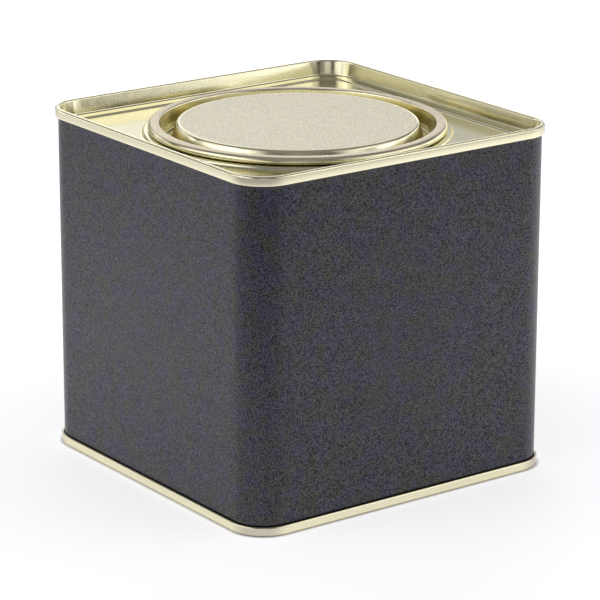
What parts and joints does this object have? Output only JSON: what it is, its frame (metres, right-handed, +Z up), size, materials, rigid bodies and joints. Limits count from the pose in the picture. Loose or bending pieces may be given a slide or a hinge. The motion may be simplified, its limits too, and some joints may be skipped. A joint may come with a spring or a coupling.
{
  "type": "plug-top can",
  "caption": "Nearly cubic gold-and-charcoal tin with rounded corners, double-seamed ends and a round plug lid pressed into a ring on top.",
  "frame": {"origin": "middle of the foot ring that the can stands on, on the plug lid's axis", "axes": "+Z up along the plug lid's axis, -Y towards the wide face in the picture, -X towards the narrow one"},
  "size_m": [0.1016, 0.1016, 0.0975],
  "materials": {
    "charcoal_enamel": "satin charcoal enamel on tinplate",
    "gold_lacquer": "pale gold lacquer on tinplate, glossy",
    "matte_gold_lacquer": "pale gold lacquer on tinplate, matte on the raised middle",
    "seam_compound": "dried sealing compound"
  },
  "bodies": {
    "can": {"body_shell": "charcoal_enamel", "top_ring": "gold_lacquer", "bottom_end": "gold_lacquer", "top_seam_compound": "seam_compound", "bottom_seam_compound": "seam_compound"},
    "lid": {"plug_lid": "matte_gold_lacquer"}
  },
  "joints": [
    {"name": "lid_lift", "type": "slide", "parent": "can", "child": "lid", "axis": [0, 0, 1], "range_m": [0, 0.06]}
  ]
}
